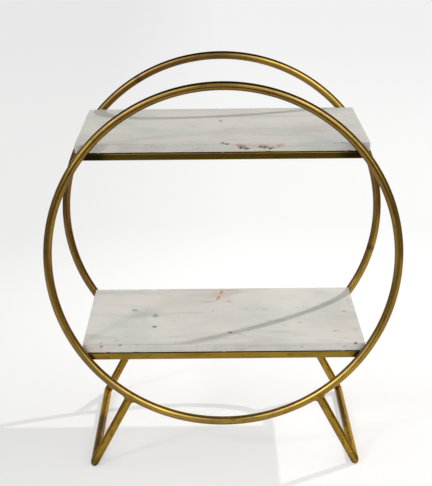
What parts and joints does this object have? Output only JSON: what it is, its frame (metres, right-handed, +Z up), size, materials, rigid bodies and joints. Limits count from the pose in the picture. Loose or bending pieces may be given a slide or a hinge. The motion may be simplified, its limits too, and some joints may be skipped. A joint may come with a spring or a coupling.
{
  "type": "tiered side table",
  "caption": "Tiered side table: round brass-finished tube hoops on splayed sled legs carry an upper and a lower marble shelf on square-tube frames.",
  "frame": {"origin": "on the floor, midway between the two hoops and midway between the two floor runners", "axes": "+Z up, +X to the right and -Y towards the front, seen as in the picture"},
  "size_m": [0.525, 0.2812, 0.59],
  "materials": {
    "brass_tube": "antique brass plating on bent steel tube, hand brushed and lacquered",
    "brass_rail": "antique brass plating on square steel tube, a little darker than the hoops",
    "marble": "honed pale grey marble with soft streaks, dark pits and rust flecks",
    "clear_bumper": "clear silicone bumper",
    "weld_bead": "ground steel weld under the same antique brass plating"
  },
  "bodies": {
    "frame": {"front_hoop": "brass_tube", "rear_hoop": "brass_tube", "left_front_leg": "brass_tube", "left_rear_leg": "brass_tube", "left_floor_runner": "brass_tube", "right_front_leg": "brass_tube", "right_rear_leg": "brass_tube", "right_floor_runner": "brass_tube", "upper_front_rail": "brass_rail", "upper_rear_rail": "brass_rail", "upper_left_rail": "brass_rail", "upper_right_rail": "brass_rail", "lower_front_rail": "brass_rail", "lower_rear_rail": "brass_rail", "lower_left_rail": "brass_rail", "lower_right_rail": "brass_rail", "upper_slab_pads": "clear_bumper", "lower_slab_pads": "clear_bumper", "leg_weld_beads": "weld_bead", "upper_rail_weld_beads": "weld_bead", "lower_rail_weld_beads": "weld_bead"},
    "upper_shelf": {"upper_marble_slab": "marble"},
    "lower_shelf": {"lower_marble_slab": "marble"}
  },
  "joints": [
    {"name": "upper_shelf_lift", "type": "slide", "parent": "frame", "child": "upper_shelf", "axis": [0, 0, 1], "range_m": [0, 0.12]},
    {"name": "lower_shelf_lift", "type": "slide", "parent": "frame", "child": "lower_shelf", "axis": [0, 0, 1], "range_m": [0, 0.27]}
  ]
}
